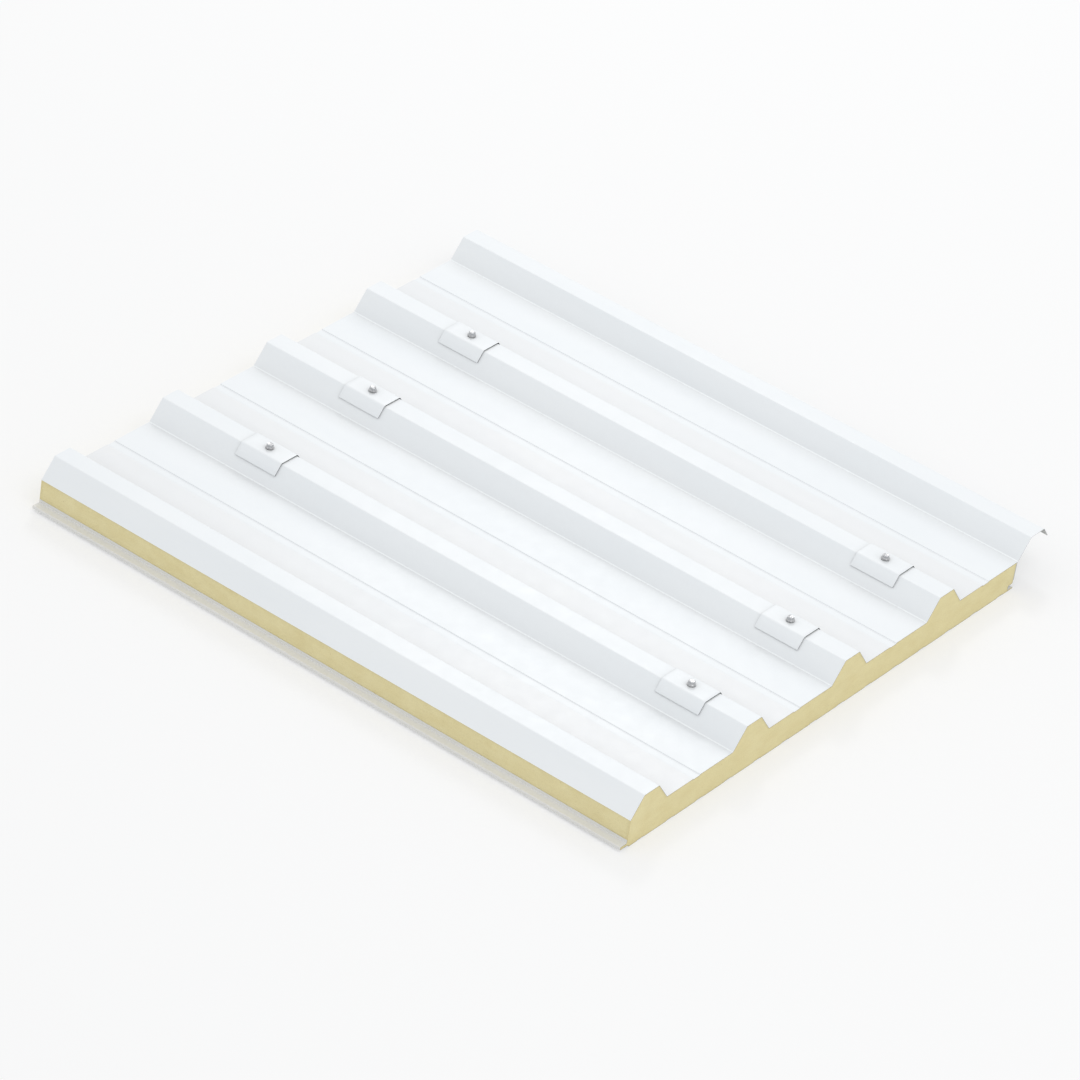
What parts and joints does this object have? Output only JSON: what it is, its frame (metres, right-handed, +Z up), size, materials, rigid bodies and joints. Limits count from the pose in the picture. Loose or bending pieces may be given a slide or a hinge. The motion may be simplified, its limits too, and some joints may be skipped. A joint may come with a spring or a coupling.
{
  "type": "insulated sandwich panel",
  "caption": "Ribbed steel roof panel with a foam core and a lightly ribbed steel liner, lapping its neighbour along one long edge, with saddle washers and screws.",
  "frame": {"origin": "on the underside, in the middle of the cover width and of the length", "axes": "+X across the ribs towards the lap, +Y along the ribs, +Z up, out of the weather side"},
  "size_m": [1.092, 1.145, 0.0936],
  "materials": {
    "outer_steel": "satin white polyester coating on galvanized steel",
    "liner_steel": "matt off-white coil coating on galvanized steel",
    "foam": "pale yellow rigid foam, fine cells, sawn at the ends",
    "strip": "matt light grey closed-cell sealing strip",
    "seal_rubber": "matt black sealing rubber",
    "saddle_metal": "satin white coating, as the outer sheet",
    "screw_steel": "zinc plated, slightly dull"
  },
  "bodies": {
    "root": {"outer_sheet": "outer_steel", "foam_core": "foam", "inner_liner": "liner_steel", "joint_strip": "strip", "saddle_seal_1": "seal_rubber", "saddle_seal_2": "seal_rubber", "saddle_seal_3": "seal_rubber", "saddle_seal_4": "seal_rubber", "saddle_seal_5": "seal_rubber", "saddle_seal_6": "seal_rubber", "saddle_1": "saddle_metal", "saddle_2": "saddle_metal", "saddle_3": "saddle_metal", "saddle_4": "saddle_metal", "saddle_5": "saddle_metal", "saddle_6": "saddle_metal", "washer_ring_1": "seal_rubber", "washer_ring_2": "seal_rubber", "washer_ring_3": "seal_rubber", "washer_ring_4": "seal_rubber", "washer_ring_5": "seal_rubber", "washer_ring_6": "seal_rubber", "washer_1": "screw_steel", "washer_2": "screw_steel", "washer_3": "screw_steel", "washer_4": "screw_steel", "washer_5": "screw_steel", "washer_6": "screw_steel", "screw_1": "screw_steel", "screw_2": "screw_steel", "screw_3": "screw_steel", "screw_4": "screw_steel", "screw_5": "screw_steel", "screw_6": "screw_steel"}
  },
  "joints": []
}
